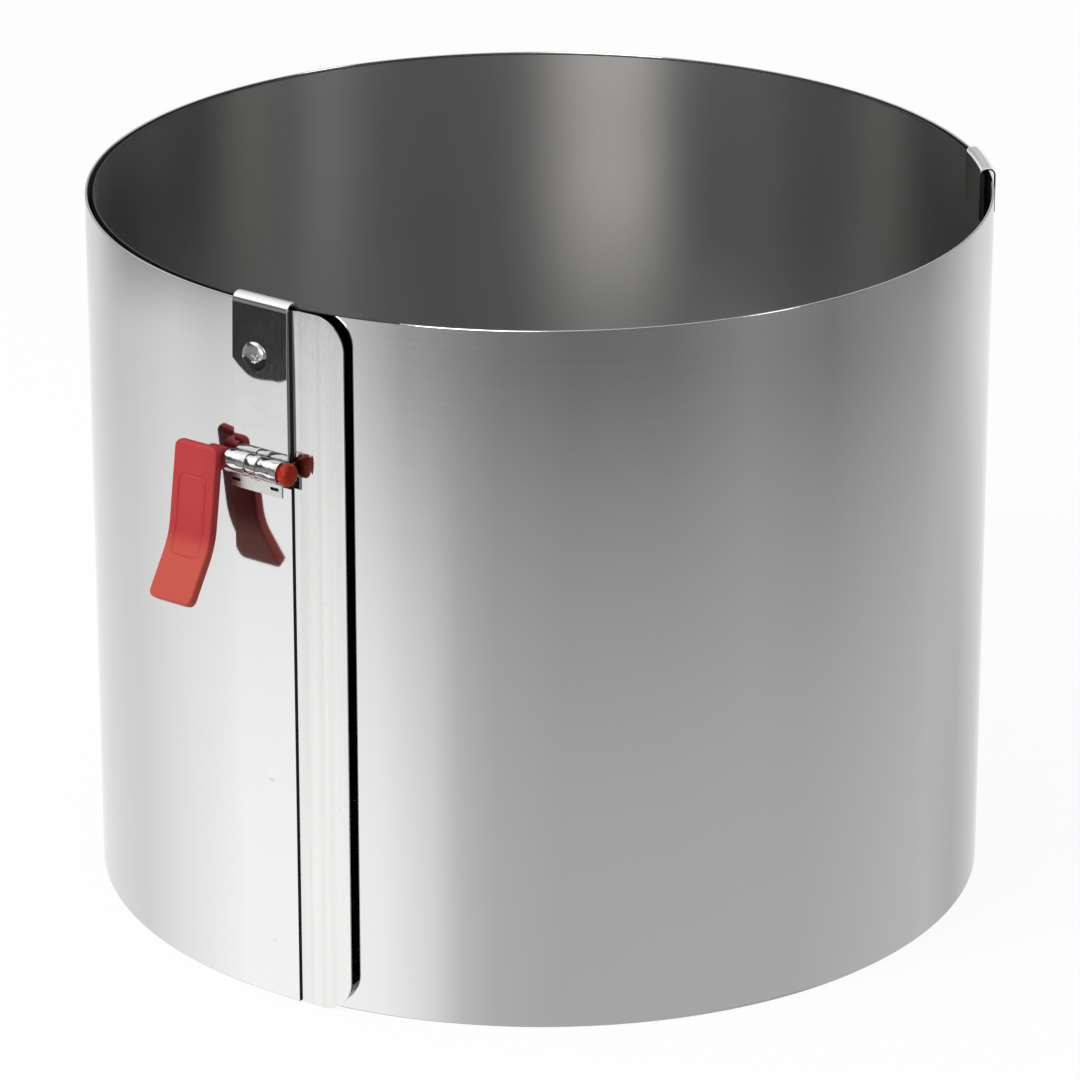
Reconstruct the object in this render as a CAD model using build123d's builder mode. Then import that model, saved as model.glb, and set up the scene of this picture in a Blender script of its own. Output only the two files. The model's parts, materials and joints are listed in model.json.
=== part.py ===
from build123d import *
import os
from math import atan2, cos, degrees, pi, radians, sin, tan

os.makedirs("parts", exist_ok=True)

# Adjustable cake ring: one springy steel strip, coiled over itself, with a lever clamp on its outer end.
# The ring stands on its lower rim, its axis is Z, and the front is toward -Y.
# An azimuth is 0 at the front and grows toward +X.

# Spring strip
ring_radius = 95.25
ring_height = 150.0
strip_thickness = 0.5
coil_turns = 1.634
lap_pitch = 1.6
section_count = 30
section_gap = 0.08
tightening_share = 1.0218

# Flat zone at the strip's outer end, pressed flat beyond a crease
crease_azimuth = -40.1
crease_turn = 3.2
flat_width = 14.6

# End strip, welded behind the flat zone, reaching over the inner lap
end_strip_thickness = 0.4
end_strip_inset = 0.6
end_strip_reach = 12.4
end_strip_radius = 75.0
end_strip_corner = 7.0
weld_gap = 0.02

# Clamp strap, folded over the rim: a jaw inside, a leaning leg outside that ends in two knuckles
strap_width = 13.9
strap_thickness = 0.5
hook_room = 2.85
hook_bend_radius = 0.75
rim_gap = 0.45
strap_seat_gap = 0.05
jaw_length = 38.0

# Barrel of the clamp hinge
hinge_stand_off = 2.5
hinge_drop = 33.4
knuckle_radius = 2.4
knuckle_inset = 0.2
middle_knuckle_width = 2.7
knuckle_gap = 0.15
knuckle_clearance = 0.2
shaft_radius = 1.6
shaft_clearance = 0.15

# Lower leaf, a small plate on the middle knuckle
leaf_drop = 5.3
leaf_thickness = 0.5
leaf_slot_length = 2.2
leaf_slot_height = 0.6
leaf_slot_spacing = 9.8
leaf_slot_rise = 1.9

# Rivet that holds the strap's leg to the strip
rivet_drop_share = 0.33
rivet_offset = 1.3
rivet_head_radius = 2.75
rivet_head_height = 1.1
rivet_shank_radius = 1.3
rivet_hole_clearance = 0.05
rivet_end_gap = 0.15
rivet_hole_overrun = 0.6

# Lever: a bent plastic arm moulded onto the shaft
arm_width = 10.8
arm_thickness = 2.4
arm_gap = 0.4
arm_top_out = 3.55
arm_top_rise = 3.2
arm_lean = 8.3
arm_straight_length = 20.15
arm_flare = 32.0
arm_flare_length = 12.8
arm_bend_radius = 16.0
arm_corner = 1.6
hub_radius = 2.1
frame_width = 7.2
frame_height = 17.0
frame_corner = 1.4
frame_line = 0.45
frame_depth = 0.25
frame_drop = 6.6

# Cap on the lever's shaft
cap_radius = 2.85
cap_width = 1.9
cap_gap = 0.3
cap_edge = 0.5
cap_bore_depth = 1.2
cap_bore_clearance = 0.03

# Rim clip on the strip's inner end, riding over the outer lap's rim
clip_width = 15.8
clip_inset = 0.5
clip_thickness = 0.35
clip_room = 2.35
clip_inner_drop = 10.0
clip_outer_drop = 8.0
clip_bend_radius = 1.3
clip_arch = 1.35

# Places worked out from the sizes above
section_length = coil_turns * 2 * pi * ring_radius / section_count
flat_azimuth = radians(crease_azimuth + crease_turn)
last_section = section_count - 1
hinge_height = ring_height - hinge_drop
rivet_height = ring_height - rivet_drop_share * hinge_drop


def section_curvature(index):
    run_turns = (index + 0.5) * section_length / (2 * pi * ring_radius)
    return (1 + tightening_share * run_turns * lap_pitch / ring_radius) / ring_radius


def coil_sections():
    """Centre, radius, start and end angle of each section's arc, from the outer end inward."""
    angle = radians(crease_azimuth) - pi / 2
    radius = 1 / section_curvature(0)
    centre = (0.0, 0.0)
    arc_length = section_length - flat_width
    found = []
    for index in range(section_count):
        new_radius = 1 / section_curvature(index)
        centre = (
            centre[0] + (radius - new_radius) * cos(angle),
            centre[1] + (radius - new_radius) * sin(angle),
        )
        radius = new_radius
        end = angle - arc_length / radius
        found.append((centre, radius, angle, end))
        angle = end
        arc_length = section_length
    return found


sections = coil_sections()
outer_radius = sections[0][1] + strip_thickness / 2
crease_angle = sections[0][2]
flat_direction = Vector(cos(flat_azimuth), sin(flat_azimuth), 0)
flat_outward = Vector(sin(flat_azimuth), -cos(flat_azimuth), 0)
crease_point = Vector(outer_radius * cos(crease_angle), outer_radius * sin(crease_angle), 0)

# On the flat zone's outer face: x along the strip to its outer end, y up, z outward
clamp_face = Plane(origin=crease_point, x_dir=flat_direction, z_dir=flat_outward)


def side_plane(along):
    """Upright plane square to the flat zone: x outward, y up, facing back toward the crease."""
    origin = clamp_face.from_local_coords((along, 0, 0))
    return Plane(origin=origin, x_dir=flat_outward, z_dir=-flat_direction)


def keep(piece, name):
    piece.part.label = name
    export_step(piece.part, f"parts/{name}.step")


strap_right = flat_width
strap_middle = strap_right - strap_width / 2
barrel_right = strap_right - knuckle_inset
barrel_width = strap_width - 2 * knuckle_inset
barrel_middle = barrel_right - barrel_width / 2
hinge_axis = (hinge_stand_off, hinge_height)
leg_top = strap_seat_gap + strap_thickness / 2
hook_rise = ring_height + rim_gap + strap_thickness / 2
strap_lean = atan2(hinge_stand_off - leg_top, hook_rise - hinge_height)
leg_outward = flat_outward * cos(strap_lean) + Vector(0, 0, 1) * sin(strap_lean)

# Rivet axis, square to the strap's leaning leg
rivet_along = strap_middle - rivet_offset
leg_out_at_rivet = leg_top + (hook_rise - rivet_height) * tan(strap_lean)
leg_point = clamp_face.from_local_coords((rivet_along, rivet_height, leg_out_at_rivet))
rivet_seat = Plane(
    origin=leg_point + leg_outward * (strap_thickness / 2),
    x_dir=flat_direction,
    z_dir=leg_outward,
)
rivet_reach = (
    leg_out_at_rivet / cos(strap_lean)
    + strap_thickness / 2
    + strip_thickness
    + end_strip_thickness
    - rivet_end_gap
)

with BuildPart() as rivet_hole:
    with BuildSketch(rivet_seat):
        Circle(rivet_shank_radius + rivet_hole_clearance)
    extrude(amount=-rivet_reach - rivet_hole_overrun)


# Coiled strip, as sections that bend at their shared edges
def coil_section(index):
    centre, radius, start, end = sections[index]
    start_trim = section_gap / 2 / radius if index else 0
    end_trim = section_gap / 2 / radius if index < last_section else 0
    from_angle = degrees(start - start_trim)
    sweep_angle = degrees(end + end_trim - start + start_trim)
    with BuildPart() as band:
        with BuildSketch(Plane.XY):
            with BuildLine():
                outer = CenterArc(centre, radius + strip_thickness / 2, from_angle, sweep_angle)
                inner = CenterArc(centre, radius - strip_thickness / 2, from_angle, sweep_angle)
                Line(outer @ 1, inner @ 1)
                if index:
                    Line(outer @ 0, inner @ 0)
                else:
                    outer_flat = Line(outer @ 0, outer @ 0 + flat_direction * flat_width)
                    inner_flat = Line(inner @ 0, inner @ 0 + flat_direction * flat_width)
                    Line(outer_flat @ 1, inner_flat @ 1)
            make_face()
        extrude(amount=ring_height)
        if index == 0:
            add(rivet_hole.part, mode=Mode.SUBTRACT)
    keep(band, f"band_{index + 1:02d}")


for index in range(section_count):
    coil_section(index)

# End strip
strip_middle_out = -strip_thickness - weld_gap - end_strip_thickness / 2
end_strip_width = flat_width - end_strip_inset + end_strip_reach
with BuildPart() as end_strip:
    tuck_start = clamp_face.from_local_coords((end_strip_inset, 0, strip_middle_out))
    tuck_end = clamp_face.from_local_coords((flat_width, 0, strip_middle_out))
    with BuildSketch(Plane.XY):
        with BuildLine():
            tuck = Line(tuck_start, tuck_end)
            JernArc(tuck @ 1, tuck % 1, end_strip_radius, degrees(end_strip_reach / end_strip_radius))
        trace(line_width=end_strip_thickness)
    extrude(amount=ring_height)
    add(rivet_hole.part, mode=Mode.SUBTRACT)
    with BuildSketch(clamp_face):
        with BuildLine():
            low = Line((0, 0), (end_strip_inset + end_strip_width, 0))
            right = Line(low @ 1, low @ 1 + Vector(0, ring_height))
            high = Line(right @ 1, (0, ring_height))
            Line(high @ 1, low @ 0)
        make_face()
        fillet(vertices().group_by(Axis.X)[-1], radius=end_strip_corner)
    extrude(amount=ring_radius / 4, both=True, mode=Mode.INTERSECT)
keep(end_strip, "end_strip")

# Clamp strap
jaw_out = -hook_room + strap_seat_gap - strap_thickness / 2
with BuildPart() as clamp_strap:
    with BuildSketch(side_plane(strap_right)):
        with BuildLine():
            FilletPolyline(
                (jaw_out, hook_rise - jaw_length),
                (jaw_out, hook_rise),
                (leg_top, hook_rise),
                hinge_axis,
                radius=hook_bend_radius,
            )
        trace(line_width=strap_thickness)
    extrude(amount=strap_width)
    with BuildSketch(side_plane(barrel_right)):
        with Locations(hinge_axis):
            Circle(knuckle_radius)
    extrude(amount=barrel_width)
    with BuildSketch(side_plane(barrel_middle)):
        with Locations(hinge_axis):
            Circle(knuckle_radius + knuckle_clearance)
    extrude(amount=middle_knuckle_width / 2 + knuckle_gap, both=True, mode=Mode.SUBTRACT)
    with BuildSketch(side_plane(barrel_middle)):
        with Locations(hinge_axis):
            Circle(shaft_radius + shaft_clearance)
    extrude(amount=strap_width, both=True, mode=Mode.SUBTRACT)
    add(rivet_hole.part, mode=Mode.SUBTRACT)
keep(clamp_strap, "clamp_strap")

# Lower leaf
leaf_width = barrel_width
leaf_bottom = hinge_height - leaf_drop
leaf_top = hinge_height - knuckle_radius - knuckle_clearance
with BuildPart() as lower_leaf:
    with BuildSketch(side_plane(barrel_middle)):
        with Locations(hinge_axis):
            Circle(knuckle_radius)
        with Locations((hinge_stand_off, (leaf_top + hinge_height) / 2)):
            Rectangle(leaf_thickness, hinge_height - leaf_top)
        with Locations(hinge_axis):
            Circle(shaft_radius + shaft_clearance, mode=Mode.SUBTRACT)
    extrude(amount=middle_knuckle_width / 2, both=True)
    with BuildSketch(side_plane(barrel_middle)):
        with Locations((hinge_stand_off, (leaf_top + leaf_bottom) / 2)):
            Rectangle(leaf_thickness, leaf_top - leaf_bottom)
    extrude(amount=leaf_width / 2, both=True)
    with BuildSketch(clamp_face):
        with Locations((barrel_middle, leaf_bottom + leaf_slot_rise)):
            with GridLocations(leaf_slot_spacing, 0, 2, 1):
                SlotOverall(leaf_slot_length, leaf_slot_height)
    extrude(amount=hinge_stand_off + knuckle_radius, mode=Mode.SUBTRACT)
keep(lower_leaf, "lower_leaf")

# Strap rivet
dome_radius = (rivet_head_radius**2 + rivet_head_height**2) / (2 * rivet_head_height)
with BuildPart() as strap_rivet:
    with BuildSketch(Plane(origin=rivet_seat.origin, x_dir=rivet_seat.x_dir, z_dir=-rivet_seat.y_dir)):
        with BuildLine():
            foot = Line((0, -rivet_reach), (rivet_shank_radius, -rivet_reach))
            shank = Line(foot @ 1, (rivet_shank_radius, 0))
            under = Line(shank @ 1, (rivet_head_radius, 0))
            crown = RadiusArc(under @ 1, (0, rivet_head_height), -dome_radius)
            Line(crown @ 1, foot @ 0)
        make_face()
    revolve(axis=Axis(rivet_seat.origin, rivet_seat.z_dir))
keep(strap_rivet, "strap_rivet")

# Lever
arm_right = strap_right - strap_width - arm_gap / 2
shaft_end = strap_right + cap_gap + cap_bore_depth
arm_top = Vector(hinge_stand_off + arm_top_out, hinge_height + arm_top_rise)
arm_bend = arm_top + Vector(sin(radians(arm_lean)), -cos(radians(arm_lean))) * arm_straight_length
arm_tip = arm_bend + Vector(sin(radians(arm_flare)), -cos(radians(arm_flare))) * arm_flare_length
arm_shadow_height = arm_top.Y - arm_tip.Y + arm_thickness
arm_face = Plane(
    origin=clamp_face.from_local_coords((arm_right - arm_width / 2, arm_top.Y, arm_top.X)),
    x_dir=flat_direction,
    z_dir=flat_outward * cos(radians(arm_lean)) + Vector(0, 0, 1) * sin(radians(arm_lean)),
)
with BuildPart() as lever:
    with BuildSketch(side_plane(arm_right)):
        with BuildLine():
            front = FilletPolyline(arm_top, arm_bend, arm_tip, radius=arm_bend_radius)
            offset(front, amount=arm_thickness, side=Side.RIGHT)
        make_face()
    extrude(amount=arm_width)
    with BuildSketch(clamp_face):
        with Locations((arm_right - arm_width / 2, arm_top.Y - arm_shadow_height / 2)):
            RectangleRounded(arm_width, arm_shadow_height, arm_corner)
    extrude(amount=ring_radius / 4, mode=Mode.INTERSECT)
    with BuildSketch(arm_face):
        with Locations((0, -frame_drop - frame_height / 2)):
            RectangleRounded(frame_width, frame_height, frame_corner)
            RectangleRounded(
                frame_width - 2 * frame_line,
                frame_height - 2 * frame_line,
                frame_corner - frame_line,
                mode=Mode.SUBTRACT,
            )
    extrude(amount=-frame_depth, mode=Mode.SUBTRACT)
    with BuildSketch(side_plane(arm_right)):
        with Locations(hinge_axis):
            Circle(hub_radius)
        with Locations((hinge_stand_off + hub_radius / 2, hinge_height)):
            Rectangle(hub_radius, 2 * hub_radius)
    extrude(amount=arm_width)
    with BuildSketch(side_plane(shaft_end)):
        with Locations(hinge_axis):
            Circle(shaft_radius)
    extrude(amount=shaft_end - arm_right)
keep(lever, "lever")

# Lever cap
with BuildPart() as lever_cap:
    with BuildSketch(side_plane(strap_right + cap_gap + cap_width)):
        with Locations(hinge_axis):
            Circle(cap_radius)
    extrude(amount=cap_width)
    fillet(edges().filter_by(GeomType.CIRCLE), radius=cap_edge)
    with BuildSketch(side_plane(shaft_end)):
        with Locations(hinge_axis):
            Circle(shaft_radius + cap_bore_clearance)
    extrude(amount=cap_bore_depth, mode=Mode.SUBTRACT)
keep(lever_cap, "lever_cap")

# Rim clip
end_centre, end_radius, end_start, end_stop = sections[last_section]
clip_start = end_stop + clip_inset / end_radius
clip_origin = (end_centre[0], end_centre[1], 0)
clip_in = end_radius - strip_thickness / 2 - weld_gap - clip_thickness / 2
clip_out = end_radius + clip_room + clip_thickness / 2
clip_rise = ring_height + clip_arch
clip_plane = Plane(
    origin=clip_origin,
    x_dir=(cos(clip_start), sin(clip_start), 0),
    z_dir=(sin(clip_start), -cos(clip_start), 0),
)
with BuildPart() as rim_clip:
    with BuildSketch(clip_plane):
        with BuildLine():
            FilletPolyline(
                (clip_in, ring_height - clip_inner_drop),
                (clip_in, clip_rise),
                (clip_out, clip_rise),
                (clip_out, ring_height - clip_outer_drop),
                radius=clip_bend_radius,
            )
        trace(line_width=clip_thickness)
    revolve(axis=Axis(clip_origin, (0, 0, 1)), revolution_arc=degrees(clip_width / end_radius))
keep(rim_clip, "rim_clip")
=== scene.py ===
import json
from math import atan2, ceil, cos, pi, radians, sin, sqrt, tan

import bmesh
import bpy
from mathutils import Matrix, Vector


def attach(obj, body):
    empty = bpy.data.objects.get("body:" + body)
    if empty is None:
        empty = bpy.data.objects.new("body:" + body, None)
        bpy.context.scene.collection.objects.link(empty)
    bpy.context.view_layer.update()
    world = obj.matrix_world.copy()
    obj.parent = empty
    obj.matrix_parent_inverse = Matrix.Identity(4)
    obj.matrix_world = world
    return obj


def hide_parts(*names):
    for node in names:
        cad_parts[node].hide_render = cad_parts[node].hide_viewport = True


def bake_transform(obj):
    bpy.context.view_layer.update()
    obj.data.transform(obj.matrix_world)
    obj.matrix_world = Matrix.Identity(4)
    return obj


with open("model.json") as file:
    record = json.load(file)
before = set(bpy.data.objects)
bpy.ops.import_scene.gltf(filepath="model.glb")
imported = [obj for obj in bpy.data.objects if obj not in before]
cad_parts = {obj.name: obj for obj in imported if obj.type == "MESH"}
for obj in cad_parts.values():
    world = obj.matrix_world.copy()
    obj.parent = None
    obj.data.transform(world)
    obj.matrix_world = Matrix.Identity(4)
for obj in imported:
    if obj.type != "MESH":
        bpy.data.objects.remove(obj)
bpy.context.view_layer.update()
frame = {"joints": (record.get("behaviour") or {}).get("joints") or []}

MM = 0.001
merge_distance = 1e-7

# Spring strip, as in the part's source
ring_radius = 95.25 * MM
ring_height = 150.0 * MM
strip_thickness = 0.5 * MM
coil_turns = 1.634
lap_pitch = 1.6 * MM
section_count = 30
section_length = coil_turns * 2 * pi * ring_radius / section_count
tightening_share = 1.0218
crease_degrees = -40.1
flat_turn_degrees = 3.2
flat_width = 14.6 * MM
rim_round = 0.12 * MM
steps_per_section = 20
flat_steps = 8

# Strip lengths from this one inward have their rims painted dark as shade
inner_lap_start = 17

# End strip: its columns crowd towards the rounded corners
end_strip_thickness = 0.4 * MM
end_strip_inset = 0.6 * MM
end_strip_reach = 12.4 * MM
end_strip_radius = 75.0 * MM
end_strip_corner = 7.0 * MM
end_strip_columns = 260
end_strip_rows = 4
end_strip_crowding = 1.3
weld_gap = 0.02 * MM

# Faint pressed lines of the end strip: place past the tuck, height and half width
pressed_lines = (
    (4.7 * MM, -0.012 * MM, 0.5 * MM),
    (1.9 * MM, -0.01 * MM, 0.4 * MM),
    (8.2 * MM, 0.012 * MM, 0.7 * MM),
)

# Spot welds that hold the end strip behind the flat: heights and place along the flat
weld_heights = (48.7 * MM, 12.8 * MM)
weld_along = 8.2 * MM
weld_radius = 1.0 * MM
weld_depth = 0.022 * MM

# Barrel of the clamp hinge
hinge_stand_off = 2.5 * MM
hinge_drop = 33.4 * MM
hinge_height = ring_height - hinge_drop
knuckle_radius = 2.4 * MM
knuckle_inset = 0.2 * MM
knuckle_soft = 0.18 * MM
middle_knuckle_width = 2.7 * MM
knuckle_gap = 0.15 * MM
shaft_radius = 1.6 * MM
shaft_gap = 0.12 * MM

# Rivet
rivet_height = ring_height - 0.33 * hinge_drop
rivet_offset = 1.3 * MM
rivet_head_radius = 3.0 * MM
rivet_head_height = 0.99 * MM
rivet_head_edge = 0.06 * MM
rivet_head_sink = 0.1 * MM
rivet_shank_radius = 1.3 * MM
rivet_shank_depth = 1.65 * MM
rivet_fullness = 0.8
# Below a wavy line the rivet's head is painted dark as shade
shaded_below = 0.5 * MM
shade_line_wave = 0.5 * MM

# Clamp strap
strap_width = 13.9 * MM
strap_thickness = 0.5 * MM
strap_seat_gap = 0.05 * MM
hook_room = 2.85 * MM
rim_gap = 0.45 * MM
jaw_length = 38.0 * MM
roll_rise = 1.45 * MM
roll_steps = 24
leg_out = 0.32 * MM
leg_spacing = 0.35 * MM
leg_end_rise = 1.9 * MM
foot_left_rise = 3.2 * MM
foot_left_share = 0.4
foot_right_rise = 1.4 * MM
foot_right_share = 0.2
foot_wave = 0.25 * MM
sheet_soft = 0.08 * MM
strap_right = flat_width
strap_left = strap_right - strap_width
barrel_left = strap_left + knuckle_inset
barrel_right = strap_right - knuckle_inset
barrel_middle = (barrel_left + barrel_right) / 2
leg_stand_off = strap_seat_gap + strap_thickness / 2
hook_rise = ring_height + rim_gap + strap_thickness / 2
leg_top_height = ring_height - 0.5 * MM
leg_foot_height = rivet_height - 4.4 * MM
leg_slope = leg_out / (leg_top_height - leg_foot_height)

# Lower leaf and its sunk slots
leaf_gap = 0.2 * MM
leaf_drop = 5.3 * MM
leaf_thickness = 0.5 * MM
neck_overlap = 0.3 * MM
slot_width = 2.2 * MM
slot_height = 0.7 * MM
slot_place = 4.9 * MM
slot_rise = 1.6 * MM
slot_floor = 0.1 * MM
slot_steps = 24

# Lever
arm_width = 10.8 * MM
arm_thickness = 2.4 * MM
arm_gap = 0.4 * MM
arm_top_out = 3.55 * MM
arm_top_rise = 3.2 * MM
arm_lean = radians(8.3)
arm_straight_length = 20.15 * MM
arm_flare = radians(32.0)
arm_flare_length = 12.8 * MM
arm_bend_radius = 16.0 * MM
arm_corner = 1.6 * MM
arm_top_round = 1.15 * MM
arm_edge = 0.5 * MM
arm_spacing = 0.2 * MM
arm_front_columns = 64
arm_back_columns = 9
arm_edge_steps = 5
# Below this height the arm's upturned flare is painted a lighter orange as light
lit_flare_height = hinge_height - 16.5 * MM
lit_flare_fade = 1.5 * MM
hub_radius = 2.25 * MM
hub_width = 4.6 * MM
hub_inset = 0.3 * MM
hub_soft = 0.7 * MM
block_inset = 0.3 * MM
block_soft = 0.25 * MM
shaft_in_arm = 1.0 * MM
shaft_in_cap = 1.1 * MM

# Moulded frame on the lever's front
frame_width = 7.2 * MM
frame_height = 17.0 * MM
frame_corner = 1.4 * MM
frame_line = 0.45 * MM
frame_line_spread = 0.62
frame_depth = 0.25 * MM
frame_drop = 6.6 * MM

# Lever cap
cap_radius = 2.4 * MM
cap_width = 1.9 * MM
cap_gap = 0.3 * MM
cap_back_soft = 0.35 * MM
cap_front_soft = 0.75 * MM
cap_face_radius = 0.6 * MM

# Rim clip
clip_width = 15.8 * MM
clip_inset = 0.5 * MM
clip_thickness = 0.35 * MM
clip_room = 2.35 * MM
clip_inner_drop = 10.0 * MM
clip_outer_drop = 8.0 * MM
clip_bend_radius = 1.3 * MM
clip_arch = 1.35 * MM

# Studio: the floor's patch that reflections see lies inside the ring at its smallest size
patch_radius = 79.0 * MM
floor_half = 3.0
floor_drop = 0.2 * MM
panel_strength = 9.0
white = (1, 1, 1, 1)


# Where the strip runs


def heading(angle):
    """Level unit direction at an angle from the frame's +X."""
    return Vector((cos(angle), sin(angle), 0))


def section_arcs():
    """Centre, radius, start and end angle of each stiff section's arc, from the outer end inward."""
    arcs = []
    angle = radians(crease_degrees) - pi / 2
    centre = Vector((0, 0, 0))
    length = section_length - flat_width
    radius = None
    for index in range(section_count):
        run_turns = (index + 0.5) * section_length / (2 * pi * ring_radius)
        curvature = (1 + tightening_share * run_turns * lap_pitch / ring_radius) / ring_radius
        new_radius = 1 / curvature
        if radius:
            centre = centre + (radius - new_radius) * heading(angle)
        radius = new_radius
        arcs.append((centre, radius, angle, angle - length / radius))
        angle = arcs[-1][3]
        length = section_length
    seam = next(j for j in frame["joints"] if j["name"] == "bend_01")["pos_m"]
    found = arcs[0][0] + arcs[0][1] * heading(arcs[0][3])
    shift = Vector((seam[0] - found.x, seam[1] - found.y, 0))
    return [(c + shift, r, a, e) for c, r, a, e in arcs], shift


arcs, frame_shift = section_arcs()
flat_azimuth = radians(crease_degrees + flat_turn_degrees)
flat_along = heading(flat_azimuth)
flat_outward = Vector((sin(flat_azimuth), -cos(flat_azimuth), 0))
crease_outward = heading(arcs[0][2])
crease_point = arcs[0][0] + (arcs[0][1] + strip_thickness / 2) * crease_outward


def at_clamp(along, up, out):
    """Point on the clamp: along the flat to the strip's outer end, up from the floor, out of its face."""
    return crease_point + flat_along * along + flat_outward * out + Vector((0, 0, up))


def on_clamp(along, out, up):
    """The same point, for sheets that are bent along a line of (out, up) points."""
    return at_clamp(along, up, out)


def strip_point(index, share):
    """Centreline point and outward direction at a share of one section's arc."""
    centre, radius, start, end = arcs[index]
    outward = heading(start + (end - start) * share)
    return centre + radius * outward, outward


# Node building blocks


def feed(tree, node, inputs):
    """Sets a node's inputs to constants, or links them to the outputs of other nodes."""
    for socket, value in inputs.items():
        if isinstance(value, bpy.types.NodeSocket):
            tree.links.new(value, node.inputs[socket])
        else:
            node.inputs[socket].default_value = value


def add(tree, kind, inputs=None, **settings):
    """A new node with its settings and inputs."""
    node = tree.nodes.new(kind)
    for key, value in settings.items():
        setattr(node, key, value)
    feed(tree, node, inputs or {})
    return node


def output_of(tree, kind, inputs=None, **settings):
    """The first output of a new node."""
    return add(tree, kind, inputs, **settings).outputs[0]


def noise(tree, coords, scale, detail, stretch=(1, 1, 1)):
    """Noise on the piece's own coordinates, stretched by a Mapping node."""
    stretched = output_of(tree, "ShaderNodeMapping", {"Scale": stretch, "Vector": coords})
    return output_of(tree, "ShaderNodeTexNoise", {"Scale": scale, "Detail": detail, "Vector": stretched})


def remap(tree, value, low, high, to_low, to_high):
    inputs = {"Value": value, "From Min": low, "From Max": high, "To Min": to_low, "To Max": to_high}
    return output_of(tree, "ShaderNodeMapRange", inputs)


def arithmetic(tree, operation, first, second=0.0):
    return output_of(tree, "ShaderNodeMath", {0: first, 1: second}, operation=operation)


def distance_from(tree, place, point):
    return add(tree, "ShaderNodeVectorMath", {0: place, 1: point}, operation="DISTANCE").outputs["Value"]


def mix_colours(tree, share, first, second):
    return add(tree, "ShaderNodeMix", {0: share, 6: first, 7: second}, data_type="RGBA").outputs[2]


def mix_shaders(tree, share, first, second):
    return output_of(tree, "ShaderNodeMixShader", {0: share, 1: first, 2: second})


def bump(tree, height, strength, distance, below=None):
    inputs = {"Strength": strength, "Distance": distance, "Height": height}
    if below is not None:
        inputs["Normal"] = below
    return output_of(tree, "ShaderNodeBump", inputs)


def new_material(name):
    material = bpy.data.materials.new(name)
    material.use_nodes = True
    material.node_tree.nodes.clear()
    return material, material.node_tree


# Finishes


def new_finish(name, inputs):
    """A material with one shader on its surface, and the piece's own coordinates for its textures."""
    material, tree = new_material(name)
    shader = add(tree, "ShaderNodeBsdfPrincipled", inputs)
    add(tree, "ShaderNodeOutputMaterial", {"Surface": shader.outputs["BSDF"]})
    place = add(tree, "ShaderNodeTexCoord").outputs["Object"]
    return material, tree, shader, place


def rolled_steel(name, tone, roughness, spread, welds=()):
    """Cold rolled spring steel: faint rolling lines along the strip, which spread reflections up and down."""
    inputs = {"Metallic": 1.0, "Anisotropic": spread, "Anisotropic Rotation": 0.25}
    material, tree, shader, place = new_finish(name, inputs)
    strip_map = output_of(tree, "ShaderNodeUVMap", uv_map="strip")
    lines = noise(tree, strip_map, scale=1500.0, detail=2.0, stretch=(0.012, 1, 1))
    clouds = noise(tree, strip_map, scale=28.0, detail=3.0, stretch=(0.5, 1, 1))
    specks = noise(tree, strip_map, scale=1100.0, detail=1.0)
    low, high = ((tone + change,) * 2 + (tone + change - 0.003, 1) for change in (-0.005, 0.005))
    speck_share = remap(tree, specks, 0.74, 0.80, 0.0, 0.12)
    colour = mix_colours(tree, speck_share, mix_colours(tree, lines, low, high), (0.40, 0.40, 0.40, 1))
    cloudy = remap(tree, clouds, 0.3, 0.7, roughness, roughness + 0.02)
    rough = arithmetic(tree, "ADD", cloudy, remap(tree, lines, 0.3, 0.7, -0.004, 0.004))
    tangent = output_of(tree, "ShaderNodeTangent", direction_type="UV_MAP", uv_map="strip")
    normal = bump(tree, lines, 0.015, 0.02 * MM)
    for weld in welds:
        apart = distance_from(tree, place, weld)
        dimple = remap(tree, apart, weld_radius * 0.45, weld_radius, -1.0, 0.0)
        normal = bump(tree, dimple, 1.0, weld_depth, normal)
    feed(tree, shader, {"Base Color": colour, "Roughness": rough, "Tangent": tangent, "Normal": normal})
    return material


def polished_steel(name="polished_steel", tone=(0.61, 0.61, 0.605), roughness=0.05, dents=0.02,
                   dent_scale=160.0, streaks=0.0):
    """Pressed and polished steel: a soft waviness, fine scuffs, tiny pits and, if wanted, upright streaks."""
    material, tree, shader, place = new_finish(name, {"Metallic": 1.0})
    waves = noise(tree, place, scale=dent_scale, detail=2.0)
    scuffs = noise(tree, place, scale=2200.0, detail=3.0, stretch=(1, 1, 0.25))
    pits = noise(tree, place, scale=1500.0, detail=1.0)
    dark = tuple(0.8 * x for x in tone) + (1,)
    colour = mix_colours(tree, remap(tree, pits, 0.66, 0.78, 0.0, 0.5), tone + (1,), dark)
    if streaks:
        upright = noise(tree, place, scale=420.0, detail=2.0, stretch=(1, 1, 0.01))
        colour = mix_colours(tree, remap(tree, upright, 0.35, 0.65, 0.0, streaks), colour, dark)
    rough = remap(tree, scuffs, 0.35, 0.75, roughness, roughness + 0.03)
    normal = bump(tree, scuffs, 0.006, 0.03 * MM, bump(tree, waves, dents, 0.6 * MM))
    feed(tree, shader, {"Base Color": colour, "Roughness": rough, "Normal": normal})
    return material


def dark_painted_shade():
    """Cut edges and shaded faces of the sheet metal: dull, with upright shear marks, and painted near black
    as shade of the gaps and recesses beside them.
    """
    material, tree, shader, place = new_finish("dark_painted_shade", {"Metallic": 1.0})
    marks = noise(tree, place, scale=1600.0, detail=2.0, stretch=(1, 1, 0.1))
    # The near-black colour is painted shade
    colour = mix_colours(tree, marks, (0.02, 0.02, 0.02, 1), (0.07, 0.07, 0.068, 1))
    rough = remap(tree, marks, 0.3, 0.7, 0.45, 0.6)
    normal = bump(tree, marks, 0.4, 0.05 * MM)
    feed(tree, shader, {"Base Color": colour, "Roughness": rough, "Normal": normal})
    return material


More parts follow.
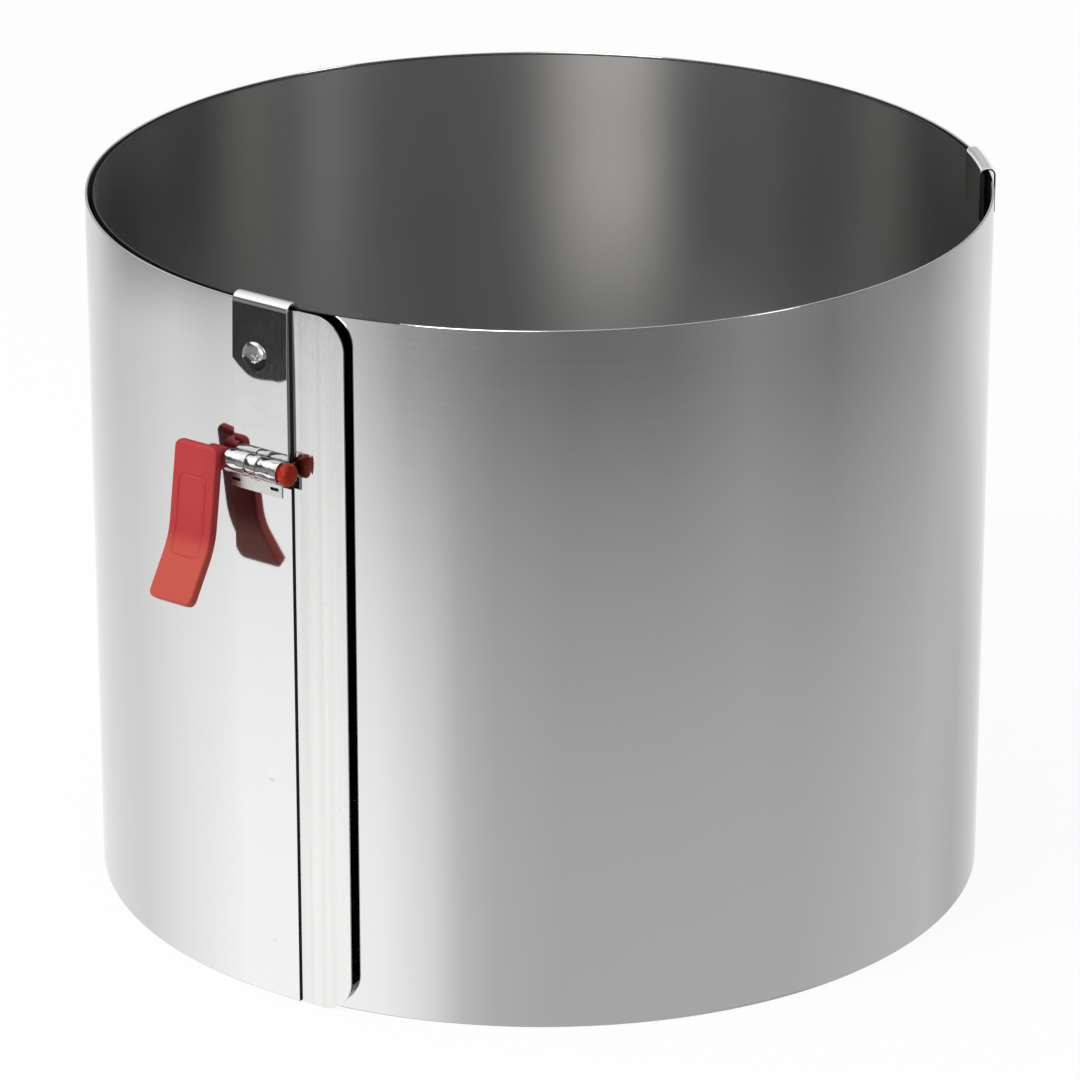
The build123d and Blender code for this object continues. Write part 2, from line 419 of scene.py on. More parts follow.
def red_plastic(name, deep, bright, roughness=0.42, tip=None, shine=0.4):
    """Moulded red plastic: a fine grain, faint flow marks, slightly rubbed high spots and, with a tip colour,
    painted light on the arm's upturned flare.
    """
    material, tree, shader, place = new_finish(name, {"Specular IOR Level": shine})
    flow = noise(tree, place, scale=130.0, detail=4.0, stretch=(1, 1, 0.4))
    grain = noise(tree, place, scale=3800.0, detail=2.0)
    rub = noise(tree, place, scale=420.0, detail=3.0)
    colour = mix_colours(tree, remap(tree, flow, 0.3, 0.7, 0.0, 1.0), deep + (1,), bright + (1,))
    if tip is not None:
        # Painted light: below this height the upturned flare gets a lighter orange
        height = add(tree, "ShaderNodeSeparateXYZ", {"Vector": place}).outputs["Z"]
        low = remap(tree, height, lit_flare_height - lit_flare_fade, lit_flare_height + lit_flare_fade, 1.0, 0.0)
        colour = mix_colours(tree, low, colour, tip + (1,))
    pale = tuple(min(1.0, 1.25 * x + 0.02) for x in bright) + (1,)
    colour = mix_colours(tree, remap(tree, rub, 0.62, 0.82, 0.0, 0.35), colour, pale)
    rough = remap(tree, rub, 0.3, 0.7, roughness, roughness + 0.1)
    normal = bump(tree, grain, 0.25, 0.03 * MM, bump(tree, flow, 0.2, 0.2 * MM))
    feed(tree, shader, {"Base Color": colour, "Roughness": rough, "Normal": normal})
    return material


# Mesh helpers


def new_object(name, data):
    thing = bpy.data.objects.new(name, data)
    bpy.context.scene.collection.objects.link(thing)
    return thing


def final_mesh(holder):
    """The mesh that an object has after its modifiers. The object itself goes."""
    bpy.context.view_layer.update()
    mesh = bpy.data.meshes.new_from_object(holder.evaluated_get(bpy.context.evaluated_depsgraph_get()))
    bpy.data.objects.remove(holder)
    return mesh


def keep_mesh(name, mesh, body, nodes=(), smooth=32):
    """A finished piece at the origin, smooth but for edges sharper than an angle, riding on its body."""
    piece = new_object(name, mesh)
    if smooth:
        mesh.polygons.foreach_set("use_smooth", [True] * len(mesh.polygons))
        mesh.set_sharp_from_angle(angle=radians(smooth))
    if body:
        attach(piece, body)
    if nodes:
        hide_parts(*nodes)
    return piece


def give_finishes(mesh, *finishes):
    for finish in finishes:
        mesh.materials.append(finish)


def mesh_from(name, points, faces):
    """Mesh from points and faces, its doubles merged and its faces turned outward."""
    mesh = bpy.data.meshes.new(name)
    mesh.from_pydata([tuple(p) for p in points], [], faces)
    shape = bmesh.new()
    shape.from_mesh(mesh)
    bmesh.ops.remove_doubles(shape, verts=shape.verts, dist=merge_distance)
    bmesh.ops.recalc_face_normals(shape, faces=shape.faces)
    shape.to_mesh(mesh)
    shape.free()
    return mesh


def joined(name, *meshes):
    """One mesh of several, which keep their own faces."""
    shape = bmesh.new()
    for mesh in meshes:
        shape.from_mesh(mesh)
    result = bpy.data.meshes.new(name)
    shape.to_mesh(result)
    shape.free()
    return result


def baked(mesh, kind, **settings):
    """The mesh with a modifier worked into it."""
    holder = new_object(mesh.name, mesh)
    modifier = holder.modifiers.new(kind.title(), kind)
    for key, value in settings.items():
        setattr(modifier, key, value)
    return final_mesh(holder)


def softened(mesh, width, segments=2):
    """The mesh with its sharp edges rounded off."""
    return baked(mesh, "BEVEL", width=width, segments=segments, limit_method="ANGLE", angle_limit=radians(40),
                 miter_outer="MITER_ARC")


def evenly(start, width, count):
    return [start + width * k / count for k in range(count + 1)]


def corner_trim(radius, distance):
    """How far a round corner cuts into the side at a distance from the end."""
    if distance >= radius:
        return 0.0
    return radius - sqrt(max(0.0, radius ** 2 - (radius - distance) ** 2))


def rounded_line(corners, radius, steps):
    """Points of an open line through flat corners, each rounded by an arc."""
    points = [Vector(corners[0])]
    for before, corner, after in zip(corners, corners[1:], corners[2:]):
        before, corner, after = Vector(before), Vector(corner), Vector(after)
        to_before, to_after = (before - corner).normalized(), (after - corner).normalized()
        half = to_before.angle(to_after) / 2
        centre = corner + (to_before + to_after).normalized() * radius / sin(half)
        first = corner + to_before * radius / tan(half) - centre
        last = corner + to_after * radius / tan(half) - centre
        start = atan2(first.y, first.x)
        sweep = (atan2(last.y, last.x) - start + pi) % (2 * pi) - pi
        for step in range(steps + 1):
            turn = start + sweep * step / steps
            points.append(centre + radius * Vector((cos(turn), sin(turn))))
    points.append(Vector(corners[-1]))
    return points


def left_of_run(points, index):
    """Unit direction to the left of a line's run at one of its points."""
    run = points[min(index + 1, len(points) - 1)] - points[max(index - 1, 0)]
    return Vector((-run.y, run.x)).normalized()


def side_line(points, distance):
    """The line's own points moved sideways by a distance, to the left of its run."""
    return [point + left_of_run(points, index) * distance for index, point in enumerate(points)]


def skin(outlines, size):
    """Faces between closed outlines of equal size that follow one another in a list of points."""
    faces = []
    for low in range(0, (outlines - 1) * size, size):
        for k in range(size):
            after = (k + 1) % size
            faces.append((low + k, low + after, low + size + after, low + size + k))
    return faces


def bent_sheet(name, line, thickness, place, columns):
    """Sheet metal bent along a line of (out, up) points, swept over columns by place(column, out, up)."""
    outline = side_line(line, thickness / 2) + side_line(line, -thickness / 2)[::-1]
    count = len(outline)
    points = [place(column, p.x, p.y) for column in columns for p in outline]
    faces = skin(len(columns), count)
    for base in (0, (len(columns) - 1) * count):
        last = base + count - 1
        faces += [(base + k, base + k + 1, last - k - 1, last - k) for k in range(len(line) - 1)]
    return mesh_from(name, points, faces)


def turned(name, start, along, outline, steps):
    """Solid turned about an axis. Its outline's (distance, radius) points on the axis stay single."""
    along = along.normalized()
    side = along.orthogonal().normalized()
    up = along.cross(side)
    turns = [2 * pi * k / steps for k in range(steps)]
    points, faces, rings = [], [], []
    for distance, radius in outline:
        centre = start + along * distance
        if radius < merge_distance:
            rings.append([len(points)])
            points.append(centre)
        else:
            rings.append(list(range(len(points), len(points) + steps)))
            points += [centre + radius * (side * cos(turn) + up * sin(turn)) for turn in turns]
    pairs = list(zip(rings, rings[1:]))
    if len(rings[0]) > 1:
        pairs.append((rings[-1], rings[0]))
    for low, high in pairs:
        for k in range(steps):
            after = (k + 1) % steps
            corners = [low[i % len(low)] for i in (k, after)] + [high[i % len(high)] for i in (after, k)]
            faces.append(tuple(dict.fromkeys(corners)))
    return mesh_from(name, points, faces)


def mirrored(outline, width):
    """A turned outline and its mirror image, for a piece of a width."""
    return outline + [(width - distance, radius) for distance, radius in reversed(outline)]


# Coiled strip


def strip_tree():
    """Sweeps a strip of metal, on edge, along a path, with rounded rims and a map along and up."""
    tree = bpy.data.node_groups.new("strip_on_edge", "GeometryNodeTree")
    for name, kind in (("Path", "Geometry"), ("Thickness", "Float"), ("Height", "Float"),
                       ("Rim Round", "Float"), ("Run Start", "Float"), ("Finish", "Material")):
        tree.interface.new_socket(name, in_out="INPUT", socket_type="NodeSocket" + kind)
    tree.interface.new_socket("Strip", in_out="OUTPUT", socket_type="NodeSocketGeometry")
    given = add(tree, "NodeGroupInput").outputs
    path = output_of(tree, "GeometryNodeSetCurveNormal", {"Curve": given["Path"]}, mode="Z_UP")
    length = add(tree, "GeometryNodeSplineParameter").outputs["Length"]
    caught = add(tree, "GeometryNodeCaptureAttribute", domain="POINT")
    caught.capture_items.new("FLOAT", "Run")
    feed(tree, caught, {"Geometry": path, "Run": arithmetic(tree, "ADD", length, given["Run Start"])})
    sides = {"Width": given["Thickness"], "Height": given["Height"]}
    profile = output_of(tree, "GeometryNodeCurvePrimitiveQuadrilateral", sides)
    rounding = {"Curve": profile, "Count": 2, "Radius": given["Rim Round"]}
    profile = output_of(tree, "GeometryNodeFilletCurve", rounding, mode="POLY")
    swept = {"Curve": caught.outputs["Geometry"], "Profile Curve": profile, "Fill Caps": True}
    strip = output_of(tree, "GeometryNodeCurveToMesh", swept)
    half = arithmetic(tree, "MULTIPLY", given["Height"], 0.5)
    raised = output_of(tree, "ShaderNodeCombineXYZ", {"Z": half})
    strip = output_of(tree, "GeometryNodeTransform", {"Geometry": strip, "Translation": raised})
    spot = output_of(tree, "GeometryNodeInputPosition")
    height = add(tree, "ShaderNodeSeparateXYZ", {"Vector": spot}).outputs["Z"]
    pair = output_of(tree, "ShaderNodeCombineXYZ", {"X": caught.outputs["Run"], "Y": height})
    kept = {"Geometry": strip, "Name": "strip", "Value": pair}
    strip = output_of(tree, "GeometryNodeStoreNamedAttribute", kept, data_type="FLOAT2", domain="CORNER")
    strip = output_of(tree, "GeometryNodeRealizeInstances", {"Geometry": strip})
    strip = output_of(tree, "GeometryNodeSetMaterial", {"Geometry": strip, "Material": given["Finish"]})
    add(tree, "NodeGroupOutput", {"Strip": strip})
    return tree


def strip_length(name, tree, path, run_start, finish):
    """One length of the strip as a plain mesh, swept along a path of points by the tree."""
    curve = bpy.data.curves.new(name, "CURVE")
    curve.dimensions = "3D"
    spline = curve.splines.new("POLY")
    spline.points.add(len(path) - 1)
    for point, place in zip(spline.points, path):
        point.co = (place.x, place.y, 0, 1)
    holder = new_object(name, curve)
    modifier = holder.modifiers.new("strip", "NODES")
    modifier.node_group = tree
    sockets = {item.name: item.identifier for item in tree.interface.items_tree if item.in_out == "INPUT"}
    for socket, value in (("Thickness", strip_thickness), ("Height", ring_height), ("Rim Round", rim_round),
                          ("Run Start", run_start), ("Finish", finish)):
        modifier[sockets[socket]] = value
    return final_mesh(holder)


def set_wall_normals(mesh, outward_at, shaded_inside_finish, painted_shade_finish=None, painted_shade_rims=False):
    """Gives the wall's faces their true outward direction, so that the lengths meet without a seam."""
    give_finishes(mesh, *[finish for finish in (shaded_inside_finish, painted_shade_finish) if finish])
    normals = [None] * len(mesh.loops)
    for face in mesh.polygons:
        face.use_smooth = True
        wall = face.normal.dot(outward_at(face.center))
        upright = abs(face.normal.z) < 0.02
        # Cut ends, and the rims of the inner laps, get the near-black painted shade finish
        cut_end = painted_shade_finish and upright and abs(wall) < 0.5
        if cut_end or (painted_shade_rims and not upright):
            face.material_index = 2
        # The wall's inner face gets the darker copy of the steel, as painted shade
        elif wall < 0 and upright:
            face.material_index = 1
        for loop in face.loop_indices:
            if upright and abs(wall) > 0.9:
                point = mesh.vertices[mesh.loops[loop].vertex_index].co
                true = outward_at(point, face.center)
                normals[loop] = true if wall > 0 else -true
            else:
                normals[loop] = face.normal.copy()
    mesh.normals_split_custom_set(normals)


def arc_path(index, from_share, to_share):
    """Points along a part of one section's arc."""
    steps = max(2, ceil(steps_per_section * (to_share - from_share)))
    return [strip_point(index, from_share + (to_share - from_share) * k / steps)[0] for k in range(steps + 1)]


def radial(index):
    """The outward direction of one section's arc, as a function of the point."""
    centre = arcs[index][0]

    def outward_at(point, near=None):
        return Vector((point.x - centre.x, point.y - centre.y, 0)).normalized()

    return outward_at


def across_seam(index):
    """The outward direction on either side of a section's seam with the next one."""
    first, second = radial(index), radial(index + 1)
    seam, outward = strip_point(index, 1)
    onward = Vector((outward.y, -outward.x, 0))

    def outward_at(point, near=None):
        return (second if ((near or point) - seam).dot(onward) > 0 else first)(point)

    return outward_at


def across_crease(point, near=None):
    """The outward direction on the flat outer end and on the first section's arc."""
    if ((near or point) - crease_point).dot(flat_along) > 0:
        return flat_outward
    return radial(0)(point)


def build_strip(finish, shaded_inside_finish, painted_shade_finish):
    """The coiled strip, one length for each bend, and the flat outer end and inner end on their sections."""
    tree = strip_tree()
    crease = crease_point - crease_outward * strip_thickness / 2
    flat_end = crease + flat_along * flat_width
    flat_path = [flat_end.lerp(crease, k / flat_steps) for k in range(flat_steps + 1)]
    mesh = strip_length("strip_outer_end", tree, flat_path + arc_path(0, 0, 0.5)[1:], 0, finish)
    set_wall_normals(mesh, across_crease, shaded_inside_finish, painted_shade_finish)
    keep_mesh("strip_outer_end", mesh, "band_01", smooth=0)
    run = section_length / 2 + flat_width / 2
    for index in range(section_count - 1):
        path = arc_path(index, 0.5, 1) + arc_path(index + 1, 0, 0.5)[1:]
        name = f"strip_length_{index + 1:02d}"
        mesh = strip_length(name, tree, path, run, finish)
        inner_lap = index >= inner_lap_start
        # Inner laps have their rims painted dark as shade
        rim_shade_finish = painted_shade_finish if inner_lap else None
        set_wall_normals(mesh, across_seam(index), shaded_inside_finish, rim_shade_finish, inner_lap)
        piece = keep_mesh(name, mesh, None, smooth=0)
        start, end = path[0].copy(), path[-1].copy()
        tuple(start)
        tuple(end)
        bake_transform(piece)
        run += section_length
    mesh = strip_length("strip_inner_end", tree, arc_path(section_count - 1, 0.5, 1), run, finish)
    set_wall_normals(mesh, radial(section_count - 1), shaded_inside_finish, painted_shade_finish, True)
    piece = keep_mesh("strip_inner_end", mesh, f"band_{section_count:02d}", smooth=0)
    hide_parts(*[f"band_{index + 1:02d}" for index in range(section_count)])


# End strip


def build_end_strip(finish):
    """Full-height guide strip behind the flat, with two rounded corners and three faint pressed lines."""
    tuck = flat_width - end_strip_inset
    length = tuck + end_strip_reach
    middle_out = -strip_thickness - weld_gap - end_strip_thickness / 2
    columns, rows = end_strip_columns, end_strip_rows

    def middle(run):
        if run <= tuck:
            return at_clamp(end_strip_inset + run, 0, middle_out), flat_outward
        angle = (run - tuck) / end_strip_radius
        centre = at_clamp(flat_width, 0, middle_out - end_strip_radius)
        outward = flat_outward * cos(angle) + flat_along * sin(angle)
        return centre + outward * end_strip_radius, outward

    def pressed_out(run):
        return sum(height * max(0.0, 1 - ((run - tuck - place) / width) ** 2) ** 2
                   for place, height, width in pressed_lines)

    points, faces = [], []
    for column in range(columns + 1):
        run = length * (1 - (1 - column / columns) ** end_strip_crowding)
        trim = corner_trim(end_strip_corner, length - run)
        low, high = trim, ring_height - trim
        base, outward = middle(run)
        lifted = base + outward * pressed_out(run)
        for side in (1, -1):
            face_point = lifted + outward * side * end_strip_thickness / 2
            points += [face_point + Vector((0, 0, height)) for height in evenly(low, high - low, rows)]
    back = rows + 1
    for a in range(0, columns * 2 * back, 2 * back):
        b, c, d = a + 2 * back, a + back, a + 3 * back
        for row in range(rows):
            faces.append((a + row, b + row, b + row + 1, a + row + 1))
            faces.append((c + row, c + row + 1, d + row + 1, d + row))
        faces += [(a, c, d, b), (a + rows, b + rows, d + rows, c + rows)]
    for base in (0, columns * 2 * back):
        other = base + back
        faces += [(base + row, base + row + 1, other + row + 1, other + row) for row in range(rows)]
    mesh = mesh_from("end_strip_face", points, faces)
    give_finishes(mesh, finish)
    keep_mesh("end_strip_face", mesh, "band_01", ["end_strip"], smooth=40)


# Clamp strap, leaf and rivet


def turned_on_hinge(name, left, outline, steps):
    """Solid turned about the hinge's axis, from a place along the flat."""
    return turned(name, at_clamp(left, hinge_height, hinge_stand_off), flat_along, outline, steps)


def knuckle(name, left, right):
    """A rolled knuckle: an open tube with softened ends."""
    start = [(0, shaft_radius + shaft_gap), (0, knuckle_radius - knuckle_soft),
             (0.3 * knuckle_soft, knuckle_radius - 0.3 * knuckle_soft), (knuckle_soft, knuckle_radius)]
    return turned_on_hinge(name, left, mirrored(start, right - left), steps=56)


def leaning_out(along, up):
    """How far the leg's front leans out: it grows down to a rounded, slightly wavy foot line."""
    share = (along - strap_right + strap_width) / strap_width
    left_rise = foot_left_rise * max(0.0, 1 - share / foot_left_share) ** 2
    right_rise = foot_right_rise * max(0.0, 1 - (1 - share) / foot_right_share) ** 2
    foot = leg_foot_height + left_rise + right_rise + foot_wave * sin(9 * share + 0.7)
    down = (leg_top_height - up) / (leg_top_height - foot)
    return leg_out * min(1.0, max(0.0, down))


def build_strap(finish, knuckle_finish):
    """The folded strap: jaw, rolled top, a leg whose front leans out, and the two outer knuckles."""
    jaw_out = -hook_room + strap_seat_gap - strap_thickness / 2
    roll_middle, roll_half = (jaw_out + leg_stand_off) / 2, (leg_stand_off - jaw_out) / 2
    line = [Vector((jaw_out, hook_rise - jaw_length))]
    for step in range(roll_steps + 1):
        turn = pi - pi * step / roll_steps
        line.append(Vector((roll_middle + roll_half * cos(turn), leg_top_height + roll_rise * sin(turn))))
    start, end = line[-1], Vector((leg_stand_off, hinge_height + leg_end_rise))
    parts = ceil((start - end).length / leg_spacing)
    line += [start.lerp(end, k / parts) for k in range(1, parts + 1)]

    def place(column, out, up):
        on_leg_front = out > leg_stand_off and up < leg_top_height
        return at_clamp(column, up, out + (leaning_out(column, up) if on_leg_front else 0.0))

    columns = evenly(strap_left, strap_width, 60)
    body = softened(bent_sheet("strap_body", line, strap_thickness, place, columns), sheet_soft)
    left = knuckle("left_knuckle", barrel_left, barrel_middle - middle_knuckle_width / 2 - knuckle_gap)
    right = knuckle("right_knuckle", barrel_middle + middle_knuckle_width / 2 + knuckle_gap, barrel_right)
    mesh = joined("strap", body, left, right)
    give_finishes(mesh, finish, knuckle_finish)
    for face in mesh.polygons[len(body.polygons):]:
        face.material_index = 1
    keep_mesh("clamp_strap_folded", mesh, "band_01", ["clamp_strap"])


def slots_cutter(bottom):
    """Two blocks with round ends that cut the slots into the leaf's front."""
    slots = []
    end_radius = slot_height / 2
    for place in (-slot_place, slot_place):
        outline = []
        for k in range(slot_steps):
            turn = 2 * pi * k / slot_steps
            side = 1 if cos(turn) > 0 else -1
            x = place + side * (slot_width / 2 - end_radius) + end_radius * cos(turn)
            outline.append((x, end_radius * sin(turn)))
        points = [at_clamp(barrel_middle + x, bottom + slot_rise + y, hinge_stand_off + out)
                  for out in (-slot_floor, 2 * leaf_thickness) for x, y in outline]
        ends = [tuple(range(slot_steps)), tuple(range(slot_steps, 2 * slot_steps))]
        slots.append(mesh_from("slot", points, ends + skin(2, slot_steps)))
    return new_object("slot_cutter", joined("slots", *slots))


def build_leaf(finish, knuckle_finish, painted_shade_finish):
    """Small plate below the barrel on the middle knuckle, with two slots sunk into its front, their insides
    and the plate's back painted dark as shade.
    """
    half_knuckle = middle_knuckle_width / 2
    middle = knuckle("middle_knuckle", barrel_middle - half_knuckle, barrel_middle + half_knuckle)
    top = hinge_height - knuckle_radius - leaf_gap
    bottom = hinge_height - leaf_drop

    def upright(name, high, low, columns):
        line = [Vector((hinge_stand_off, high)), Vector((hinge_stand_off, low))]
        return bent_sheet(name, line, leaf_thickness, on_clamp, columns)

    neck_columns = evenly(barrel_middle - half_knuckle, middle_knuckle_width, 6)
    neck = upright("leaf_neck", hinge_height - 0.6 * knuckle_radius, top - neck_overlap, neck_columns)
    plate = upright("leaf_plate", top, bottom, evenly(barrel_left, barrel_right - barrel_left, 20))
    cutter = slots_cutter(bottom)
    plate = baked(plate, "BOOLEAN", object=cutter, operation="DIFFERENCE", solver="EXACT")
    bpy.data.objects.remove(cutter)
    plate.materials.clear()
    give_finishes(plate, finish, knuckle_finish, painted_shade_finish)
    margin = 0.05 * MM
    for face in plate.polygons:
        offset = face.center - at_clamp(barrel_middle, bottom + slot_rise, hinge_stand_off)
        beside = abs(abs(offset.dot(flat_along)) - slot_place)
        in_slot = beside < slot_width / 2 + margin and abs(offset.z) < slot_height / 2 + margin
        sunk = offset.dot(flat_outward) < leaf_thickness / 2 - 0.02 * MM
        # Slot floors and sides, and the plate's back, are painted dark as shade
        if (in_slot and sunk) or face.normal.dot(flat_outward) < -0.5:
            face.material_index = 2
    mesh = joined("leaf", plate, softened(neck, sheet_soft), middle)
    give_finishes(mesh, finish, knuckle_finish, painted_shade_finish)
    for face in mesh.polygons[len(mesh.polygons) - len(middle.polygons):]:
        face.material_index = 1
    keep_mesh("lower_leaf_slotted", mesh, "band_01", ["lower_leaf"])


def build_rivet(finish, painted_shade_finish):
    """Domed head, painted dark as shade below a wavy line, square on the leaning leg, with its shank through
    the strap.
    """
    along = strap_right - strap_width / 2 - rivet_offset
    out = leg_stand_off + (leg_top_height - rivet_height) * leg_slope
    lean = atan2(leg_slope, 1)
    direction = flat_outward * cos(lean) + Vector((0, 0, sin(lean)))
    seat = at_clamp(along, rivet_height, out) + direction * strap_thickness / 2
    outline = [(-rivet_shank_depth, 0), (-rivet_shank_depth, rivet_shank_radius),
               (-rivet_head_sink, rivet_shank_radius), (-rivet_head_sink, rivet_head_radius),
               (rivet_head_edge, rivet_head_radius)]
    dome_steps = 12
    for k in range(1, dome_steps + 1):
        turn = pi / 2 * k / dome_steps
        radius = rivet_head_radius * cos(turn) ** rivet_fullness if k < dome_steps else 0
        outline.append((rivet_head_height * sin(turn), radius))
    mesh = turned("strap_rivet_head", seat, direction, outline, steps=48)
    give_finishes(mesh, finish, painted_shade_finish)
    for face in mesh.polygons:
        across = (face.center - seat).dot(flat_along)
        below = seat.z - face.center.z
        # Below the wavy line the head is painted dark as shade
        if below > shaded_below + shade_line_wave * sin(1.6 * across / MM + 0.6):
            face.material_index = 1
    keep_mesh("strap_rivet_head", mesh, "band_01", ["strap_rivet"], smooth=50)


# Lever


def lever_line():
    """Front line of the arm from its top to its tip, as (out, up) points, evenly close."""
    top = Vector((hinge_stand_off + arm_top_out, hinge_height + arm_top_rise))
    bend = top + Vector((sin(arm_lean), -cos(arm_lean))) * arm_straight_length
    tip = bend + Vector((sin(arm_flare), -cos(arm_flare))) * arm_flare_length
    coarse = rounded_line([top, bend, tip], arm_bend_radius, steps=24)
    fine = [coarse[0]]
    for first, second in zip(coarse, coarse[1:]):
        parts = max(1, ceil((second - first).length / arm_spacing))
        fine += [first.lerp(second, k / parts) for k in range(1, parts + 1)]
    return fine


def frame_groove(across, run):
    """Depth of the moulded frame line at a place on the arm's front."""
    x = abs(across) - (frame_width / 2 - frame_corner)
    y = abs(run - frame_drop - frame_height / 2) - (frame_height / 2 - frame_corner)
    outside = sqrt(max(x, 0) ** 2 + max(y, 0) ** 2) + min(max(x, y), 0) - frame_corner
    distance = abs(outside + frame_line / 2) / (frame_line * frame_line_spread)
    return frame_depth * max(0.0, 1 - distance ** 2)


def arm_outline(run, total):
    """Outline round the arm at a distance along it, as (across, inward) points from its front."""
    near_end = min(run, total - run)
    half = arm_width / 2 - corner_trim(arm_corner, near_end)
    front = corner_trim(arm_top_round if run < total / 2 else arm_edge, near_end)
    depth = arm_thickness - 2 * front
    back = front + depth
    flat = half - arm_edge
    soft = min(arm_edge, depth / 2)
    turns = evenly(0, pi / 2, arm_edge_steps)
    outline = []
    for k in range(arm_front_columns + 1):
        across = flat * (2 * k / arm_front_columns - 1)
        outline.append((across, front + frame_groove(across, run)))
    outline += [(flat + arm_edge * sin(turn), front + soft * (1 - cos(turn))) for turn in turns[1:]]
    outline += [(flat + arm_edge * cos(turn), back - soft * (1 - sin(turn))) for turn in turns]
    outline += [(flat * (1 - 2 * k / arm_back_columns), back) for k in range(1, arm_back_columns)]
    outline += [(-flat - arm_edge * sin(turn), back - soft * (1 - cos(turn))) for turn in turns]
    outline += [(-flat - arm_edge * cos(turn), front + soft * (1 - sin(turn))) for turn in turns[:-1]]
    return outline


def arm_mesh(left):
    """Bent plastic arm with softened edges and a moulded frame, from its left side."""
    line = lever_line()
    runs = [0.0]
    for first, second in zip(line, line[1:]):
        runs.append(runs[-1] + (second - first).length)
    points = []
    for index, point in enumerate(line):
        inward = -left_of_run(line, index)
        outline = arm_outline(runs[index], runs[-1])
        for across, inside in outline:
            spot = point + inward * inside
            points.append(at_clamp(left + arm_width / 2 + across, spot.y, spot.x))
    size = len(outline)
    faces = skin(len(line), size)
    for base in (0, (len(line) - 1) * size):
        points.append(sum((points[base + k] for k in range(size)), Vector()) / size)
        faces += [(base + k, base + (k + 1) % size, len(points) - 1) for k in range(size)]
    return mesh_from("arm", points, faces)


def build_lever(finish):
    """The arm, its rounded hub with a block towards the arm, and the shaft."""
    left = strap_left - arm_gap / 2 - arm_width
    hub_left = left + arm_width - hub_inset - hub_width
    outline = [(0, 0)]
    for turn in evenly(0, pi / 2, 6):
        outline.append((hub_soft * (1 - cos(turn)), hub_radius - hub_soft * (1 - sin(turn))))
    hub = turned_on_hinge("hub", hub_left, mirrored(outline, hub_width), steps=40)
    block_line = [Vector((hinge_stand_off + out, hinge_height)) for out in (0, hub_radius)]
    block_columns = [hub_left + block_inset, hub_left + hub_width / 2, hub_left + hub_width - block_inset]
    block = bent_sheet("hub_block", block_line, 2 * hub_radius, on_clamp, block_columns)
    block = softened(block, block_soft, segments=3)
    shaft_start = left + arm_width - shaft_in_arm
    shaft_run = strap_right + cap_gap + shaft_in_cap - shaft_start
    shaft = turned_on_hinge("shaft", shaft_start, mirrored([(0, 0), (0, shaft_radius)], shaft_run), steps=40)
    mesh = joined("lever", arm_mesh(left), hub, block, shaft)
    give_finishes(mesh, finish)
    keep_mesh("lever_arm", mesh, "lever", ["lever"], smooth=48)


def build_cap(finish):
    """Round cap with softened edges, more so at its outer end."""
    outline = [(0, 0), (0, cap_radius - cap_back_soft), (0.12 * MM, cap_radius - 0.1 * MM),
               (cap_back_soft, cap_radius)]
    for turn in evenly(0, pi / 2, 8):
        distance = cap_width - cap_front_soft + cap_front_soft * sin(turn)
        outline.append((distance, cap_radius - cap_front_soft + cap_front_soft * cos(turn)))
    outline += [(cap_width, cap_face_radius), (cap_width, 0)]
    mesh = turned_on_hinge("lever_cap_button", strap_right + cap_gap, outline, steps=56)
    give_finishes(mesh, finish)
    keep_mesh("lever_cap_button", mesh, "lever", ["lever_cap"], smooth=50)


# Rim clip


def build_clip(finish, painted_shade_finish):
    """Folded clip on the strip's inner end, arched over the outer lap's rim, with its cut sides painted dark
    as shade.
    """
    centre, radius, start, end = arcs[-1]
    inside = -strip_thickness / 2 - weld_gap - clip_thickness / 2
    outside = clip_room + clip_thickness / 2
    rise = ring_height + clip_arch
    corners = [(inside, ring_height - clip_inner_drop), (inside, rise), (outside, rise),
               (outside, ring_height - clip_outer_drop)]
    line = rounded_line(corners, clip_bend_radius, steps=10)

    def place(turn, out, up):
        return centre + (radius + out) * heading(turn) + Vector((0, 0, up))

    columns = evenly(end + clip_inset / radius, clip_width / radius, 24)
    mesh = softened(bent_sheet("rim_clip_fold", line, clip_thickness, place, columns), sheet_soft)
    give_finishes(mesh, finish, painted_shade_finish)
    middle = (columns[0] + columns[-1]) / 2
    along = Vector((-sin(middle), cos(middle), 0))
    for face in mesh.polygons:
        # The clip's cut sides are painted dark as shade
        if abs(face.normal.dot(along)) > 0.8:
            face.material_index = 1
    keep_mesh("rim_clip_fold", mesh, f"band_{section_count:02d}", ["rim_clip"])


# Studio

# Panels that only reflections see: degrees to the right of the front, brightness and, for some, warmth
under_panels = (
    (-180, 0.8), (-110, 0.7), (-90, 0.2), (-50, 0.2), (-35, 0.6), (0, 0.45), (60, 0.5), (120, 0.7),
    (180, 0.8))
near_floor_panels = (
    (-180, 0.95), (-125, 0.98), (-100, 1.26), (-80, 1.45), (-56, 1.40), (-42, 1.34), (-29, 1.08),
    (-21, 0.78), (-12, 0.66), (5, 0.61), (70, 0.62), (120, 0.73), (138, 0.60), (160, 0.75), (180, 0.95))
far_floor_panels = (
    (-180, 1.0), (-135, 0.80), (-105, 1.0), (-90, 0.94), (-74, 1.03), (-55, 0.95), (-35, 0.40),
    (-10, 0.23), (8, 0.18), (32, 0.20), (54, 0.31), (78, 0.26), (114, 0.47), (145, 0.85), (180, 1.0))
level_right_panels = (
    (-48, 0.5), (-30, 0.75), (-12, 0.45), (8, 0.28), (32, 0.30), (54, 0.45), (78, 0.30), (114, 0.35),
    (145, 0.85), (180, 0.85))
dark_flag_panels = (
    (-180, 0.85), (-150, 0.85), (-126, 0.35), (-100, 0.15), (-92, 0.045), (-60, 0.045)) + level_right_panels
